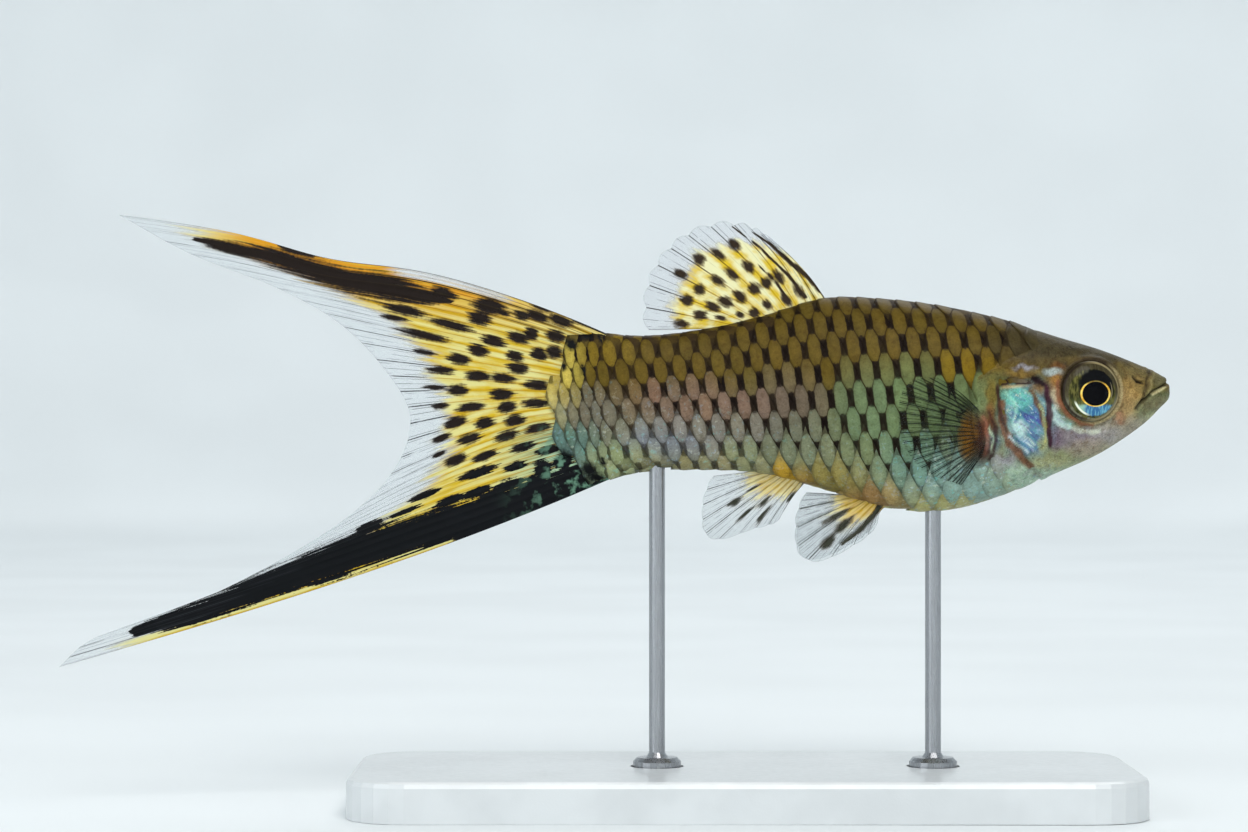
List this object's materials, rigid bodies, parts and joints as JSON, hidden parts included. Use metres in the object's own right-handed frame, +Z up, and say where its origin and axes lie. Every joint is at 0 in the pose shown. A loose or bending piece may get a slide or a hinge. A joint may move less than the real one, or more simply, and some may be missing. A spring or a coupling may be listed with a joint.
{
  "type": "lyretail swordtail on a stand",
  "caption": "Still, life-size model of a lyretail swordtail fish with spotted fins and a long-lobed lyre tail, held level over a plain flat base by slim rods.",
  "frame": {"origin": "on the floor, at the middle of the box: under the midpoint between the lip and the lower sword's tip, on the fish's middle plane", "axes": "+X towards the snout, +Y towards the fish's left side, +Z up"},
  "size_m": [0.111, 0.032, 0.0591],
  "materials": {
    "head_skin": "painted skin, satin gloss, olive above and silver below",
    "lip_skin": "painted skin, satin gloss",
    "gill_plate": "painted skin with a pearly sheen",
    "flank_skin": "painted skin under scales, satin gloss",
    "eye": "polished, black pupil with a gold ring",
    "spotted_fin": "thin web, yellow with black spots",
    "clear_fin": "thin clear web with fine dark rays",
    "sword_fin": "thin web, yellow with a black band",
    "stand_paint": "plain pale satin plate",
    "stand_steel": "fine satin steel"
  },
  "bodies": {
    "root": {"head": "head_skin", "upper_jaw": "lip_skin", "lower_jaw": "lip_skin", "gill_cover_left": "gill_plate", "gill_cover_right": "gill_plate", "eye_left": "eye", "eye_right": "eye", "trunk": "flank_skin", "tail_stalk": "flank_skin", "dorsal_fin": "spotted_fin", "anal_fin": "clear_fin", "pelvic_fin_left": "clear_fin", "pelvic_fin_right": "clear_fin", "pectoral_fin_left": "clear_fin", "pectoral_fin_right": "clear_fin", "caudal_upper_lobe": "sword_fin", "caudal_fan": "spotted_fin", "caudal_lower_lobe": "sword_fin", "stand_base": "stand_paint", "stand_rod_front": "stand_steel", "stand_rod_rear": "stand_steel"}
  },
  "joints": []
}
